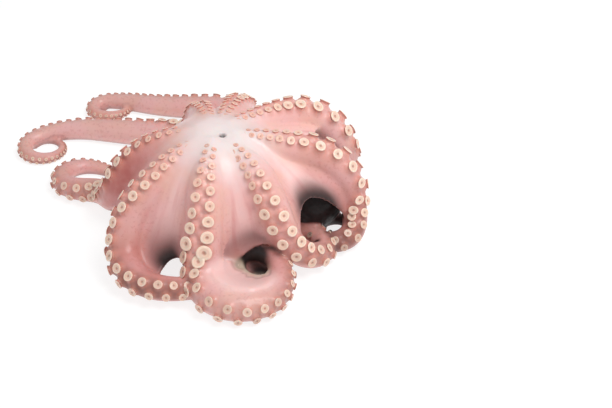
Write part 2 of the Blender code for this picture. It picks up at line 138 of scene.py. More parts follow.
# One entry per arm, as in the solid: lengths in millimetres along the arm from the mouth, angles
# in degrees
ARMS = {
    "left": dict(
        base=14.5, top=25, shoulder=75, pitch=68, foot=45, hem=118, cup=CUP,
        headings=[(0, 172), (70, 182), (98, 180), (118, 112), (138, 118), (158, 175), (176, 160),
                  (232, -5), (262, -45), (280, -170), (300, -360)],
        roll=[(0, 0), (110, 0), (165, -75), (400, -85)]),
    "front_left": dict(
        base=14.5, top=20, shoulder=65, pitch=50, foot=50, cup=CUP,
        hem=[(0, 168), (0.1, 156), (0.2, 150), (0.3, 146), (0.4, 138), (0.5, 122), (0.6, 115),
             (0.75, 113), (0.9, 119), (1, 134)],
        rise=[(125, 0), (145, 3), (190, 3), (210, 0)],
        headings=[(0, 218), (84, 216), (196, 380), (216, 394), (262, 530), (294, 700), (320, 880)],
        roll=[(0, -5), (60, -14), (80, 5), (95, 35), (110, 68), (130, 86), (150, 74), (175, 62),
              (400, 80)]),
    "front": dict(
        base=16, top=28, shoulder=45, pitch=62, foot=40,
        cup=[(24, 0.28), (37, 0.34), (55, 0.50), (70, 0.58), (85, 0.68), (97, 0.88), (106, 0.84),
             (118, 0.70), (135, 0.64), (225, 0.60), (255, 0.45), (340, 0.3)],
        spacing=[(24, 0.40), (45, 0.50), (60, 0.58), (75, 0.72), (88, 0.90), (118, 0.97),
                 (135, 0.92), (225, 0.75), (270, 0.45), (340, 0.40)],
        hem=[(0, 150), (0.2, 126), (0.3, 121), (0.4, 117), (0.5, 112), (0.6, 109), (0.7, 107),
             (0.8, 109), (0.9, 115), (1, 131)],
        headings=[(0, 264), (120, 267), (221, 450), (262, 540), (290, 700), (340, 1050)],
        rise=[(205, 0), (230, 8), (255, 15), (275, 13), (305, 0)],
        roll=[(0, -5), (60, -2), (90, 10), (115, 30), (150, 74), (175, 92), (225, 76), (245, 30),
              (400, 30)]),
    "front_right": dict(
        base=14.5, top=34, shoulder=60, pitch=62, foot=50, cup=CUP,
        hem=[(0, 140), (0.1, 125), (0.2, 115), (0.3, 107), (0.4, 102), (0.5, 101), (0.6, 104),
             (0.7, 116), (0.8, 142), (0.9, 158), (1, 165)],
        headings=[(0, 318), (40, 313), (60, 301), (80, 306), (102, 326), (142, 402), (192, 527),
                  (228, 700), (262, 960)],
        roll=[(0, 10), (50, 32), (90, 40), (120, 55), (160, 75), (400, 85)]),
    "right": dict(
        base=14.5, top=74, shoulder=55, pitch=78, foot=40, hem=96, cup=CUP,
        headings=[(0, 359), (54, 354), (120, 356), (158, 264), (182, 205), (210, 100), (244, 10),
                  (269, -120), (294, -300)],
        roll=[(0, 8), (60, 8), (90, 4), (150, 0), (190, -75), (400, -95)]),
    "back_right": dict(
        base=14.5, top=85, shoulder=55, pitch=78, foot=45, hem=90, cup=CUP,
        headings=[(0, 48), (60, 36), (95, 12), (122, -8), (140, 20), (158, 85), (190, 122),
                  (230, 145), (280, 170), (320, 280), (365, 460), (400, 640), (415, 740)],
        roll=[(0, 0), (130, 0), (200, 70), (420, 85)]),
    "back": dict(
        base=14.5, top=30, shoulder=75, pitch=42, foot=50, hem=84, cup=CUP,
        headings=[(0, 77), (100, 82), (176, 112), (204, 170), (230, 176), (285, 160), (316, 178),
                  (348, 345), (370, 400), (398, 530), (423, 660)],
        roll=[(0, 0), (130, 0), (200, 70), (500, 90)]),
    "back_left": dict(
        base=14.5, top=25, shoulder=65, pitch=50, foot=38, hem=90, cup=CUP,
        headings=[(0, 104), (125, 106), (158, 170), (235, 168), (292, 212), (382, 520), (406, 640)],
        roll=[(0, 0), (120, 0), (200, 70), (500, 110)]),
}


# Painted shade on the coils that lie in the hollows, by distance along the arm in millimetres
COIL_SHADE = {"front": [(285, 0), (305, 0.95)], "right": [(170, 0), (200, 0.75)]}

# Painted shade where the web's edge turns into a dark hollow: two arms, from and to how far across,
# how wide the painted shade is in millimetres and how deep
HOLLOW_SHADES = [("front_left", "front", 0.10, 0.60, 28, 0.8),
           ("front", "front_right", 0.40, 0.95, 26, 0.75),
           ("front_right", "right", 0.15, 0.90, 27, 0.75)]

# Marks start or end at the first value and fade over the second
CURL_FAR = (0.62, 0.08)            # the far wall of the web in the curl, painted in shade, over its run
CURL_ARM = (222 * MM, 20 * MM)     # the front arm's side by the hole, painted in shade, along the arm
DARK_ALONG = (165 * MM, 10 * MM)   # the painted shade under the web, along an arm
DARK_OUT = (118 * MM, 6 * MM)      # from the mouth's axis
DARK_UP = (60 * MM, 6 * MM)        # over the floor
DARK_BACK = (50 * MM, 15 * MM)     # towards the back
BAG_BACK = (34 * MM, 22 * MM)      # the painted shade of the bag in the hollow, towards the back
DARK_ROWS = 60                     # points along an edge of the web with painted shade

OFF_ARM = (1.05, 12 * MM)    # web starts here, over the arm's radius, and fades in over this
TENTH = 100 * MM             # unit of the marks "from_mouth" and "height"
LOOKED_FROM = (0.0, -0.81, 0.59)  # painted shade is full on skin facing this way, the side that the hollows are looked into from, and weaker on skin turned away
LIP_BAND = (7.5 * MM, 1.0 * MM, 0.42)  # beige round the hole: width, waves, radians to the next
LIP_SHADOW = (1.5 * MM, 1.4 * MM)  # the painted shadow line outside it: how far, how wide
HALO_AND_SHADE = 2.2 * MM              # the warmer skin round a sucker: its own orange tint, and painted shade round its base

# How red an arm and the skin by it are, and how much painted shade they get, by distance along it in
# millimetres: the values also darken the web at the left as shade, tone down the web at the right
# under the key light, and weigh the brown painted shade under the arms
BLUSH_AND_SHADE = {
    "left": [(30, 0.3), (65, 1.4), (115, 1.4), (150, 0.35), (300, 0.2)],
    "front_left": [(40, 0.1), (100, 0.5), (135, 1.0), (320, 1.0)],
    "front": [(50, 0.0), (110, 0.1), (150, 0.05), (190, 0.2), (222, 0.9), (340, 0.9)],
    "front_right": [(50, 0.0), (100, 0.35), (140, 0.5), (262, 0.6)],
    "right": [(50, 0.0), (80, 0.5), (105, 0.5), (125, 0.9), (294, 1.0)],
    "back_right": [(50, 0.0), (125, 0.05), (160, 0.8), (415, 0.5)],
    "back": [(60, 0.1), (150, 0.2), (300, 0.1), (423, 0.3)],
    "back_left": [(60, 0.1), (150, 0.05), (300, 0.05), (406, 0.4)],
}


def smooth(values, width=15):
    """A running mean with a Hann window."""
    kernel = np.hanning(width)
    kernel /= kernel.sum()
    pad = width // 2
    return np.convolve(np.pad(values, pad, mode="edge"), kernel, "valid")


def ease(x):
    x = np.clip(x, 0, 1)
    return x * x * (3 - 2 * x)


def past(values, start, rise):
    """0 up to the start, easing to 1 over the rise."""
    return ease((values - start) / rise)


def within(values, limit, fade):
    """0 from the limit on, easing to 1 over the fade before it."""
    return ease((limit - values) / fade)


def unit(vectors):
    return vectors / np.maximum(np.linalg.norm(vectors, axis=-1, keepdims=True), 1e-12)


def full_radius(s, length, base):
    """The arm's radius without its narrow root: thick over most of its length, then tapering."""
    return TIP_RADIUS + (base - TIP_RADIUS) * (1 - np.clip(s / length, 0, 1) ** 2)


def route(arm):
    """Centre line, frame and radius along one arm."""
    top, shoulder, foot, base = (arm[key] * MM for key in ("top", "shoulder", "foot", "base"))
    steep = math.radians(arm["pitch"])
    knots = np.array(arm["headings"], float)
    length = knots[-1, 0] * MM
    s = np.arange(MOUTH_RADIUS, length, STEP)

    def fall(wall):
        ends = np.cumsum([0, top, shoulder, wall, foot])
        return np.interp(s, ends, [0, LIP_PITCH, steep, steep, 0]), ends[-1]

    wall = 0.0
    for _ in range(6):
        pitch, landing = fall(wall)
        drop = (np.sin(pitch) * STEP).sum()
        short = CROWN_HEIGHT - full_radius(landing, length, base) - drop
        wall = max(0.0, wall + short / math.sin(steep))
    pitch, landing = fall(wall)
    pitch = smooth(pitch)
    heading = smooth(np.radians(np.interp(s, knots[:, 0] * MM, knots[:, 1])))
    ahead = np.stack([np.cos(heading), np.sin(heading), np.zeros(len(s))], 1)
    above = np.array([0.0, 0.0, 1.0])
    tangent = ahead * np.cos(pitch)[:, None] - above * np.sin(pitch)[:, None]
    up = ahead * np.sin(pitch)[:, None] + above * np.cos(pitch)[:, None]
    start = ahead[0] * MOUTH_RADIUS + above * CROWN_HEIGHT
    centre = start + np.concatenate([[np.zeros(3)], np.cumsum(tangent[:-1] * STEP, 0)])
    radius = full_radius(s, length, base)
    on_floor = np.clip((s - landing + LANDING / 2) / LANDING, 0, 1)
    clear = np.maximum(centre[:, 2], radius)
    centre[:, 2] = (1 - on_floor) * clear + on_floor * radius
    knots = np.array(arm.get("rise", [(0, 0)]), float)
    centre[:, 2] += smooth(np.interp(s / MM, knots[:, 0], knots[:, 1])) * MM
    knots = np.array(arm["roll"], float)
    roll = np.radians(smooth(np.interp(s / MM, knots[:, 0], knots[:, 1])))[:, None]
    oral = up * np.cos(roll) + np.cross(tangent, up) * np.sin(roll)
    narrow = radius * (ROOT_WIDTH + (1 - ROOT_WIDTH) * ease(s / ROOT_LENGTH))
    centre = centre + oral * (radius - narrow)[:, None]
    knots = np.array(arm["cup"], float)
    cup = np.interp(s / MM, knots[:, 0], knots[:, 1])
    knots = np.array(arm.get("spacing", SPACING), float)
    spacing = np.interp(s / MM, knots[:, 0], knots[:, 1])
    return dict(s=s, centre=centre, tangent=tangent, oral=oral, across=np.cross(tangent, oral),
                radius=narrow, full=radius, length=length, cup=cup, spacing=spacing)


ROUTES = {name: route(arm) for name, arm in ARMS.items()}


def at(line, key, s):
    """A column of a route at one or many distances s along the arm."""
    values = line[key]
    if values.ndim == 1:
        return np.interp(s, line["s"], values)
    return np.stack([np.interp(s, line["s"], values[:, k]) for k in range(3)], -1)


def clears_floor(place, out, width):
    """True if the whole rim of the sucker is over the floor."""
    rim = place[2] + out[2] * width * SUCKER_RISE - math.hypot(out[0], out[1]) * width / 2
    return rim > 2 * FLOOR_PRESS


def sucker_places(name, line):
    """Every sucker of one arm: place, outward direction, arm's run, width, distance, arm."""
    s = SUCKER_START
    side = 1
    while s < line["length"] - TIP_BARE:
        width = at(line, "full", s) * at(line, "cup", s)
        centre, oral, across, radius = (at(line, key, s) for key in
                                        ("centre", "oral", "across", "radius"))
        splay = math.asin(min(MOST_SPLAY, SUCKER_SPREAD * width / (radius + width * SUCKER_RISE)))
        least = splay / 4
        while True:
            out = oral * math.cos(splay) + across * math.sin(splay) * side
            out /= np.linalg.norm(out)
            place = centre + out * radius
            if splay < least or clears_floor(place, out, width):
                break
            splay -= SPLAY_STEP
        yield place - np.array([0, 0, FLOOR_PRESS]), out, at(line, "tangent", s), width, s, name
        s += at(line, "full", s) * at(line, "spacing", s) / 2
        side = -side


SUCKERS = [found for name, line in ROUTES.items() for found in sucker_places(name, line)]


class Shape:
    """Vertices and faces gathered from many closed forms."""

    def __init__(self):
        self.verts = []
        self.faces = []
        self.count = 0

    def add(self, verts, faces):
        self.verts.append(np.asarray(verts, float).reshape(-1, 3))
        self.faces.extend([tuple(int(i) + self.count for i in face) for face in faces])
        self.count += len(self.verts[-1])

    def object(self, name):
        data = bpy.data.meshes.new(name)
        data.from_pydata(np.concatenate(self.verts).tolist(), [], self.faces)
        data.update()
        item = bpy.data.objects.new(name, data)
        bpy.context.scene.collection.objects.link(item)
        return item


def grid_faces(rows, columns, closed=False):
    """Quads of a grid of rows by columns of points, closed round along the columns if asked."""
    faces = []
    for i in range(rows - 1):
        for j in range(columns if closed else columns - 1):
            k = (j + 1) % columns
            faces.append((i * columns + j, i * columns + k, (i + 1) * columns + k,
                          (i + 1) * columns + j))
    return faces


def add_arm(shape, line):
    """One arm: round behind, with a shallow groove between its two rows of suckers."""
    turn = np.arange(RING) / RING * math.tau
    side = np.minimum(turn, math.tau - turn)
    section = 1 - GROOVE[0] * np.exp(-(side / GROOVE[1]) ** 2)
    radius = np.maximum(line["radius"], LEAST_RADIUS)[:, None, None] * section[None, :, None]
    around = (line["oral"][:, None] * np.cos(turn)[None, :, None]
              + line["across"][:, None] * np.sin(turn)[None, :, None])
    rings = line["centre"][:, None] + around * radius
    rings[..., 2] = np.maximum(rings[..., 2] - FLOOR_PRESS, -UNDER_FLOOR)
    rows = len(rings)
    faces = grid_faces(rows, RING, closed=True)
    last = (rows - 1) * RING
    faces.append(tuple(range(RING - 1, -1, -1)))
    faces.append(tuple(range(last, last + RING)))
    shape.add(rings, faces)


def hem(arm, u):
    """How far down the web runs, u of the way from this arm to the next."""
    if isinstance(arm["hem"], list):
        places, reaches = zip(*arm["hem"])
        near = [u - HEM_SOFT, u, u + HEM_SOFT]
        return float(np.interp(near, places, reaches).mean()) * MM
    return arm["hem"] * MM + WEB_EXTRA * abs(2 * u - 1) ** WEB_SCALLOP


def web_column(names, u):
    """Points down the web between two arms, u of the way across."""
    arm = ARMS[names[0]]
    s = MOUTH_RADIUS + np.linspace(0, 1, WEB_DOWN) * (hem(arm, u) - MOUTH_RADIUS)
    lift = np.interp(ease(s / hem(arm, 0.5)), [0, 1], WEB_ROOT)[:, None]
    turns, reaches, heights = [], [], []
    for line in (ROUTES[name] for name in names):
        place = at(line, "centre", s) + at(line, "oral", s) * at(line, "radius", s)[:, None] * lift
        turns.append(np.arctan2(place[:, 1], place[:, 0]))
        reaches.append(np.hypot(place[:, 0], place[:, 1]))
        heights.append(place[:, 2])
    angle = turns[0] + (turns[1] - turns[0]) % math.tau * u
    sag = WEB_VALLEY * math.sin(math.pi * u) * ease(s / WEB_SAGGED)
    out = (1 - u) * reaches[0] + u * reaches[1] - sag
    height = (1 - u) * heights[0] + u * heights[1] - sag * 0.5
    return np.stack([out * np.cos(angle), out * np.sin(angle), height], 1)


def web_sheet():
    """Points and outward normals of the web, rows down from the mouth by columns round it."""
    names = list(ROUTES)
    columns = []
    for k, name in enumerate(names):
        pair = (name, names[(k + 1) % len(names)])
        for i in range(WEB_ACROSS):
            columns.append(web_column(pair, i / WEB_ACROSS))
    sheet = np.stack(columns, 1)
    along = np.gradient(sheet, axis=0)
    round_ = np.roll(sheet, -1, 1) - np.roll(sheet, 1, 1)
    normal = unit(np.cross(round_, along))
    return sheet, normal * np.sign(normal[..., 2:3].mean())


def add_web(shape):
    """The web as a closed sheet round the crown, thinner towards its edge."""
    sheet, normal = web_sheet()
    rows, wide = sheet.shape[:2]
    half = np.linspace(WEB_THICK, WEB_THIN, rows)[:, None, None] / 2
    outer = grid_faces(rows, wide, closed=True)
    inner = [tuple(i + rows * wide for i in face[::-1]) for face in outer]
    last = (rows - 1) * wide
    rim = []
    for j in range(wide):
        k = (j + 1) % wide
        rim.append((last + j, last + k, rows * wide + last + k, rows * wide + last + j))
    caps = [tuple(range(wide)), tuple(range(rows * wide + wide - 1, rows * wide - 1, -1))]
    shape.add(np.concatenate([sheet + normal * half, sheet - normal * half]),
              outer + inner + rim + caps)


def curl_hem(turn):
    """The free edge of the web in the front arm's curl, at a bearing from the hole's middle."""
    open_ = 1 - ease((turn - CURL_LIP) / CURL_LIP_FADE)
    sink = ease((turn - CURL_SINK_FROM) / CURL_SINK_FADE)
    wide, deep = CURL_HOLE[0] + CURL_LIP_EXTRA * open_, CURL_HOLE[1]
    x, y, z = CURL_CENTRE
    return np.array([x + wide * math.cos(turn), y + deep * math.sin(turn),
                     z + CURL_LIP_LIFT * open_ - CURL_SINK * sink])


def curl_rows(count, wide):
    """Rows of points across the web in the front arm's curl, from the arm to its free edge."""
    line = ROUTES["front"]
    middle = np.array(CURL_CENTRE)
    inset, high, fall = CURL_ROOT
    rows = []
    last = None
    for s in np.linspace(*CURL_RUN, count):
        centre, radius = at(line, "centre", s), at(line, "radius", s)
        inward = (middle - centre) * [1, 1, 0]
        inward /= np.linalg.norm(inward)
        turn = math.atan2(-inward[1], -inward[0])
        while last is not None and turn < last - math.pi:
            turn += math.tau
        last = turn if last is not None else turn % math.tau
        height = high - fall * float(past(s, *CURL_DROP))
        start = centre + inward * radius * inset + np.array([0, 0, height * radius])
        stop = curl_hem(last)
        bulge = (start + stop) / 2 + np.array([0, 0, CURL_SWELL])
        rows.append([(1 - t) ** 2 * start + 2 * t * (1 - t) * bulge + t * t * stop
                     for t in np.linspace(0, 1, wide)])
    return rows


def add_curl_web(shape):
    """The web in the front arm's curl as a closed sheet with a thin, wavy edge."""
    sheet = np.array(curl_rows(*CURL_POINTS))
    count, wide = sheet.shape[:2]
    along = np.gradient(sheet, axis=0)
    outward = np.gradient(sheet, axis=1)
    normal = unit(np.cross(outward, along))
    half = np.linspace(WEB_THICK, WEB_THIN, wide)[None, :, None] / 2
    edge = np.linspace(0, 1, wide)[None, :, None] ** 3
    high, lift, ripple = CURL_WAVE
    wave = np.sin(np.arange(count) * ripple)[:, None, None] * high + lift
    sheet[..., 2:3] += wave * edge
    outer = grid_faces(count, wide)
    inner = [tuple(i + count * wide for i in face[::-1]) for face in outer]
    rim = list(range(wide)) + [i * wide + wide - 1 for i in range(1, count)]
    rim += [(count - 1) * wide + j for j in range(wide - 2, -1, -1)]
    rim += [i * wide for i in range(count - 2, 0, -1)]
    sides = [(rim[k - 1], rim[k], rim[k] + count * wide, rim[k - 1] + count * wide)
             for k in range(len(rim))]
    shape.add(np.concatenate([sheet + normal * half, sheet - normal * half]),
              outer + inner + sides)


def ball(rows, columns):
    """A unit sphere as points and faces."""
    up = np.linspace(0, math.pi, rows + 1)[1:-1]
    turn = np.arange(columns) / columns * math.tau
    ring = np.stack([np.sin(up)[:, None] * np.cos(turn), np.sin(up)[:, None] * np.sin(turn),
                     np.cos(up)[:, None] * np.ones(columns)], -1).reshape(-1, 3)
    count = (rows - 1) * columns
    verts = np.concatenate([ring, [[0, 0, 1], [0, 0, -1]]])
    faces = grid_faces(rows - 1, columns, closed=True)
    for j in range(columns):
        k = (j + 1) % columns
        faces.append((count, k, j))
        faces.append((count + 1, count - columns + j, count - columns + k))
    return verts, faces


def add_bag(shape, size, centre, lumps=0.0):
    """A rounded bag of the given half sizes, uneven by the part "lumps"."""
    verts, faces = ball(40, 64)
    wave = (np.sin(verts[:, 0] * 5 + 1) * np.sin(verts[:, 1] * 4 + 2) * np.sin(verts[:, 2] * 6))
    shape.add(verts * (1 + lumps * wave)[:, None] * np.array(size) + np.array(centre), faces)


# A mound's profile, as radius and height over the sucker's width
MOUND = [(0.62, -0.25), (0.60, 0.00), (0.53, 0.15), (0.42, 0.22), (0.0, 0.22)]


def add_mounds(shape, around=12):
    """The low mound of skin that each sucker stands on."""
    turn = np.arange(around) / around * math.tau
    rings = np.array(MOUND[:-1])
    faces = grid_faces(len(rings), around, closed=True)
    last = (len(rings) - 1) * around
    faces.append(tuple(range(around - 1, -1, -1)))
    faces.append(tuple(range(last, last + around)))
    for place, out, run, width, _, _ in SUCKERS:
        if width > LEAST_MOUND:
            side = unit(np.cross(out, run))
            ahead = np.cross(side, out)
            flat = ahead * np.cos(turn)[:, None] + side * np.sin(turn)[:, None]
            verts = place + (flat[None] * rings[:, None, :1] + out * rings[:, None, 1:]) * width
            shape.add(verts, faces)


def modify(item, kind, **settings):
    """Adds a modifier, sets it and applies it."""
    modifier = item.modifiers.new(kind.lower(), kind)
    for key, value in settings.items():
        setattr(modifier, key, value)
    bpy.context.view_layer.objects.active = item
    item.select_set(True)
    bpy.ops.object.modifier_apply(modifier=modifier.name)
    item.select_set(False)


def coordinates(item):
    places = np.zeros(len(item.data.vertices) * 3)
    item.data.vertices.foreach_get("co", places)
    return places.reshape(-1, 3)


def set_coordinates(item, places):
    item.data.vertices.foreach_set("co", places.ravel())
    item.data.update()


def normals(item):
    found = np.zeros(len(item.data.vertices) * 3)
    item.data.vertices.foreach_get("normal", found)
    return found.reshape(-1, 3)


def set_attribute(item, name, values):
    item.data.attributes.new(name, "FLOAT", "POINT").data.foreach_set("value", values)


def soften(item, values, times):
    """Averages the points' values with those of their neighbours, so many times."""
    ends = np.zeros(len(item.data.edges) * 2, int)
    item.data.edges.foreach_get("vertices", ends)
    a, b = ends.reshape(-1, 2).T
    count = len(values)
    around = np.bincount(a, minlength=count) + np.bincount(b, minlength=count)
    for _ in range(times):
        total = np.bincount(a, values[b], count) + np.bincount(b, values[a], count)
        values = (values + total / np.maximum(around, 1)) / 2
    return values


def nearest(places, points):
    """Index of the nearest point, and its distance, for each place."""
    tree = KDTree(len(points))
    for k, point in enumerate(points):
        tree.insert(point, k)
    tree.balance()
    found = [tree.find(place) for place in places]
    return np.array([f[1] for f in found]), np.array([f[2] for f in found])


def shape_mouth(item):
    """The dimple round the mouth, its lip, and the opening over the beak."""
    places = coordinates(item)
    out = np.hypot(places[:, 0] - MOUTH[0], places[:, 1] - MOUTH[1])
    dimple = -DIMPLE[0] * np.exp(-(out / DIMPLE[1]) ** 2)
    lip = MOUTH_LIP[0] * np.exp(-((out - MOUTH_LIP[1]) / MOUTH_LIP[2]) ** 2)
    pit = -MOUTH_PIT[0] * np.exp(-(out / MOUTH_PIT[1]) ** 4)
    places[:, 2] += np.where(places[:, 2] > HIGH_UP, dimple + lip + pit, 0)
    set_coordinates(item, places)


def under_web(places):
    """1 where a point lies under the crown's web or on its inner side, 0 outside it."""
    sheet, normal = (part.reshape(-1, 3) for part in web_sheet())
    index, _ = nearest(places, sheet)
    depth = ((sheet[index] - places) * normal[index]).sum(1)
    return past(depth, 0.8 * MM, 1.6 * MM)


def on_bag(places, size, centre):
    """1 on the skin of a bag, 0 away from it."""
    far = np.linalg.norm((places - np.array(centre)) / np.array(size), axis=1)
    return within(far, 1.12, 0.08)


def knots_at(table, index):
    """Each arm's value of a table of knots by distance, at the indexed points of all the routes."""
    values = []
    for name, line in ROUTES.items():
        knots = np.array(table.get(name, [(0, 0)]), float)
        values.append(np.interp(line["s"] / MM, knots[:, 0], knots[:, 1]))
    return np.concatenate(values)[index]


def route_points(key):
    """A column of all the routes, one after the other."""
    return np.concatenate([line[key] for line in ROUTES.values()])


def curl_marks(places):
    """How much each point is of the web in the curl, and how much of its far wall."""
    rows, across = 140, 24
    index, near = nearest(places, np.array(curl_rows(rows, across)).reshape(-1, 3))
    far_wall = past(index // across / rows, *CURL_FAR)
    return within(near, 4.6 * MM - 1.3 * MM * far_wall, 1.6 * MM), far_wall


def darkness(places, facing, index, off, on_curl, far_wall):
    """How much painted shade each point gets in and round the dark hollows, from 0 to 1."""
    along = route_points("s")[index]
    inward = -(unit(places * [1, 1, 0]) * facing).sum(1)
    turned = past(np.maximum(inward, -facing[:, 2]), 0.05, 0.4)
    on_arm = (1 - off) * turned * within(along, *DARK_ALONG)
    by_crown = within(np.hypot(places[:, 0], places[:, 1]), *DARK_OUT)
    by_crown *= within(places[:, 2], *DARK_UP) * within(places[:, 1], *DARK_BACK)
    # Painted shade under the web by the crown, on the web and on the arms' sides turned in
    dark = under_web(places) * (off + on_arm) * by_crown
    # Painted shade on the coils that lie in the hollows
    dark = np.maximum(dark, knots_at(COIL_SHADE, index) * (1 - off))
    # Painted shade along the web's edge where it turns into each hollow
    for one, two, start, stop, size, depth in HOLLOW_SHADES:
        edge = [web_column((one, two), u)[-1] for u in np.linspace(start, stop, DARK_ROWS)]
        _, far = nearest(places, edge)
        near = within(far, size * MM, size * MM)
        dark = np.maximum(dark, depth * near * (0.2 + 0.8 * off))
    # Painted shade on the far wall of the curl's web, none on the rest of it
    dark = dark * (1 - on_curl) + on_curl * far_wall * 0.92
    # Painted shade on the front arm's side that faces the curl's hole
    to_hole = unit((np.array(CURL_CENTRE) - places) * [1, 1, 0])
    by_hole = past((facing * to_hole).sum(1), 0, 0.5) * past(along, *CURL_ARM)
    by_hole *= knots_at({"front": [(0, 1)]}, index) * ease(1 - 4 * off)
    dark = np.maximum(dark, 0.8 * by_hole)
    # The bag in the hollow at the right, painted near black as shade, less towards the back
    in_hollow = on_bag(places, *HOLLOW_BAG) * ease(off * 3)
    dark = np.maximum(dark, in_hollow * within(places[:, 1], *BAG_BACK))
    # The low part of the bag under the curl, painted near black as shade
    low = within(places[:, 2], CURL_CENTRE[2] - 2 * MM, 2 * MM)
    dark = np.maximum(dark, on_bag(places, *CURL_BAG) * low)
    # Painted shade at full strength on skin facing LOOKED_FROM, a quarter as strong on skin turned
    # away
    return dark * (0.25 + 0.75 * past(facing @ LOOKED_FROM, -0.15, 0.4))


def mark_lip(item, places, on_curl, far_wall):
    """The beige band along the free edge of the web in the curl, and the painted shadow line outside
    it.
    """
    width, wave, ripple = LIP_BAND
    index, far = nearest(places, np.array(curl_rows(*CURL_POINTS))[:, -1])
    band = width + wave * np.sin(index * ripple)
    lip = np.exp(-(far / band) ** 4) * (1 - far_wall)
    line = np.exp(-((far - band - LIP_SHADOW[0]) / LIP_SHADOW[1]) ** 2)
    set_attribute(item, "lip", soften(item, lip, 5))
    set_attribute(item, "lip_shadow", line * (1 - far_wall) * on_curl)


def mark_skin(item):
    """Marks each point of the skin with what its colour follows."""
    places = coordinates(item)
    facing = normals(item)
    centres = route_points("centre")
    index, distance = nearest(places, centres)
    oral = (unit(places - centres[index]) * route_points("oral")[index]).sum(1)
    arm_edge, fade = OFF_ARM
    off = np.clip((distance - route_points("radius")[index] * arm_edge) / fade, 0, 1)
    set_attribute(item, "oral", np.clip(oral, -1, 1) * (1 - off))
    set_attribute(item, "off_arm", off)
    mouth = np.array([*MOUTH, CROWN_TOP])
    set_attribute(item, "from_mouth", np.linalg.norm(places - mouth, axis=1) / TENTH)
    set_attribute(item, "height", places[:, 2] / TENTH)
    angle = np.arctan2(places[:, 1], places[:, 0])
    set_attribute(item, "bearing", angle / math.tau)
    set_attribute(item, "blush_and_shade", soften(item, knots_at(BLUSH_AND_SHADE, index), 120))
    on_curl, far_wall = curl_marks(places)
    # Painted shade in and round the hollows
    dark = darkness(places, facing, index, off, on_curl, far_wall)
    set_attribute(item, "hollow_shade", soften(item, dark, 4))
    set_attribute(item, "pale", soften(item, on_curl * (1 - far_wall), 20))
    mark_lip(item, places, on_curl, far_wall)
    out = np.hypot(places[:, 0] - MOUTH[0], places[:, 1] - MOUTH[1])
    hole = np.where(places[:, 2] > HIGH_UP, np.exp(-(out / MOUTH_DARK) ** 4), 0)
    set_attribute(item, "mouth", hole)
    cups = np.array([found[0] for found in SUCKERS])
    widths = np.array([found[3] for found in SUCKERS])
    index, distance = nearest(places, cups)
    halo_and_shade = np.exp(-np.maximum(distance - widths[index] * 0.5, 0) / HALO_AND_SHADE)
    set_attribute(item, "halo_and_shade", halo_and_shade)


def make_skin():
    """The skin as one closed mesh, marked for its colours."""
    shape = Shape()
    for line in ROUTES.values():
        add_arm(shape, line)
    add_web(shape)
    add_curl_web(shape)
    add_bag(shape, MANTLE_SIZE, MANTLE_CENTRE, lumps=0.02)
    add_bag(shape, BEAK_SIZE, (0, 0, BEAK_HEIGHT))
    add_bag(shape, *HOLLOW_BAG, lumps=0.03)
    add_bag(shape, *CURL_BAG)
    add_mounds(shape)
    item = shape.object("octopus_skin")
    modify(item, "REMESH", mode="VOXEL", voxel_size=VOXEL)
    modify(item, "SMOOTH", factor=0.5, iterations=SMOOTHING)
    shape_mouth(item)
    places = coordinates(item)
    places[:, 2] = np.maximum(places[:, 2], 0)
    set_coordinates(item, places)
    item.data.shade_smooth()
    mark_skin(item)
    return item


# A sucker's profile, as radius and height over its width, from its root inwards over the rim to
# the bottom of its pit
CUP_PROFILE = [(0.50, -0.25), (0.475, -0.02), (0.45, 0.08), (0.435, 0.18), (0.445, 0.26),
               (0.475, 0.32), (0.495, 0.36), (0.49, 0.395), (0.46, 0.42), (0.40, 0.43),
               (0.33, 0.425), (0.25, 0.405), (0.19, 0.395), (0.14, 0.38), (0.10, 0.34),
               (0.05, 0.32), (0.0, 0.315)]


